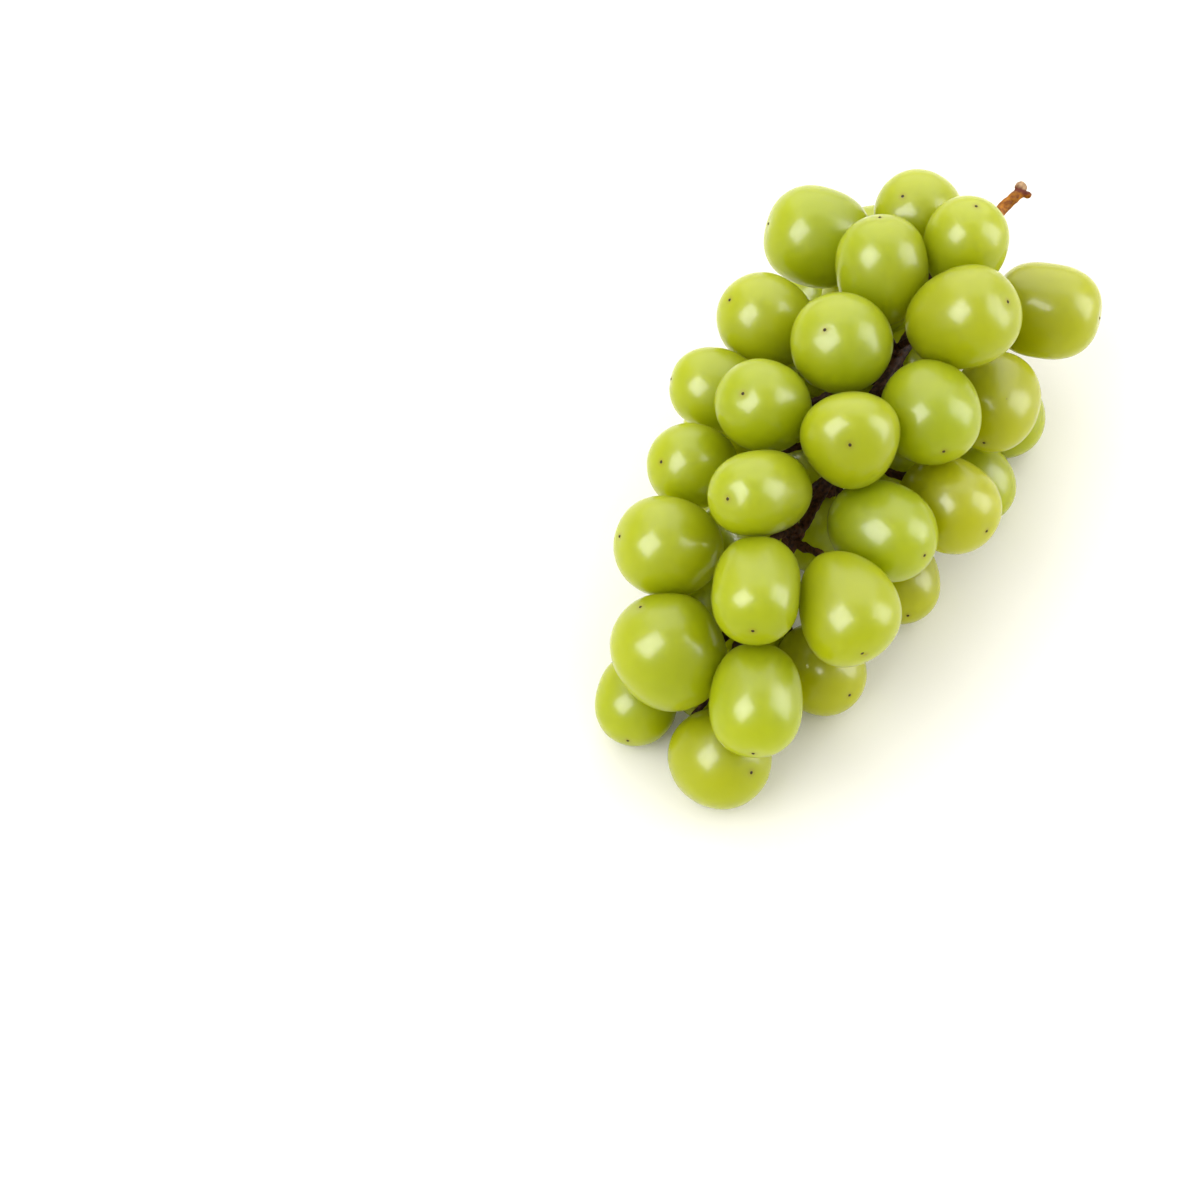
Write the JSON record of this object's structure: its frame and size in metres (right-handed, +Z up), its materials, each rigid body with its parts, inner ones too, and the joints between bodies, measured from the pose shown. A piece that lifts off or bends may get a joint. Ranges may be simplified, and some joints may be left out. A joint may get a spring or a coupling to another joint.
{
  "type": "bunch of grapes",
  "caption": "Bunch of green table grapes lying on its side: plump oval berries packed around a branching woody stem with a short knobbed cut end, for a fruit bowl, board or still life.",
  "frame": {"origin": "middle of the bunch's bounding box, at the surface it lies on", "axes": "+X along the main stem towards its cut end, +Z up from the surface, +Y across the bunch"},
  "size_m": [0.185, 0.089, 0.0763],
  "materials": {
    "berry_skin": "thin waxy yellow-green fruit skin over juicy flesh, softly glossy, light shines a little way into it",
    "stem_wood": "thin reddish-brown woody bark, dull and slightly warty, paler on the knob of the cut end"
  },
  "bodies": {
    "root": {"stem": "stem_wood", "berry_01": "berry_skin", "berry_02": "berry_skin", "berry_03": "berry_skin", "berry_04": "berry_skin", "berry_05": "berry_skin", "berry_06": "berry_skin", "berry_07": "berry_skin", "berry_08": "berry_skin", "berry_09": "berry_skin", "berry_10": "berry_skin", "berry_11": "berry_skin", "berry_12": "berry_skin", "berry_13": "berry_skin", "berry_14": "berry_skin", "berry_15": "berry_skin", "berry_16": "berry_skin", "berry_17": "berry_skin", "berry_18": "berry_skin", "berry_19": "berry_skin", "berry_20": "berry_skin", "berry_21": "berry_skin", "berry_22": "berry_skin", "berry_23": "berry_skin", "berry_24": "berry_skin", "berry_25": "berry_skin", "berry_26": "berry_skin", "berry_27": "berry_skin", "berry_28": "berry_skin", "berry_29": "berry_skin", "berry_30": "berry_skin", "berry_31": "berry_skin", "berry_32": "berry_skin", "berry_33": "berry_skin", "berry_34": "berry_skin", "berry_35": "berry_skin", "berry_36": "berry_skin", "berry_37": "berry_skin", "berry_38": "berry_skin", "berry_39": "berry_skin", "berry_40": "berry_skin", "berry_41": "berry_skin", "berry_42": "berry_skin", "berry_43": "berry_skin", "berry_44": "berry_skin", "berry_45": "berry_skin", "berry_46": "berry_skin", "berry_47": "berry_skin"}
  },
  "joints": []
}
